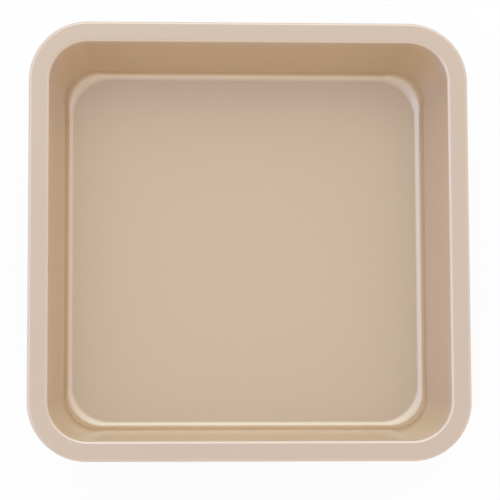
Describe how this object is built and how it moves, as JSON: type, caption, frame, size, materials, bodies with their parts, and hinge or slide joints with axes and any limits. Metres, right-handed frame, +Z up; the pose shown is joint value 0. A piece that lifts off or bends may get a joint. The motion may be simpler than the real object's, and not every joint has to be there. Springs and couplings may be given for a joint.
{
  "type": "square baking pan",
  "caption": "Deep square baking pan pressed from coated steel sheet, with sloping walls, rounded corners, a flat rim and a rolled edge, for baking and roasting in an oven.",
  "frame": {"origin": "under the middle of the base, on the surface that the pan stands on", "axes": "+Z up out of the pan's mouth, +X and +Y square to its sides"},
  "size_m": [0.224, 0.224, 0.0468],
  "materials": {
    "inside_coat": "satin champagne non-stick coat with fine metal flake",
    "steel": "cold-rolled carbon steel, bare only at the trimmed edge",
    "outside_coat": "satin champagne non-stick coat with fine metal flake"
  },
  "bodies": {
    "root": {"inside_nonstick_coat": "inside_coat", "pressed_steel_shell": "steel", "outside_nonstick_coat": "outside_coat"}
  },
  "joints": []
}
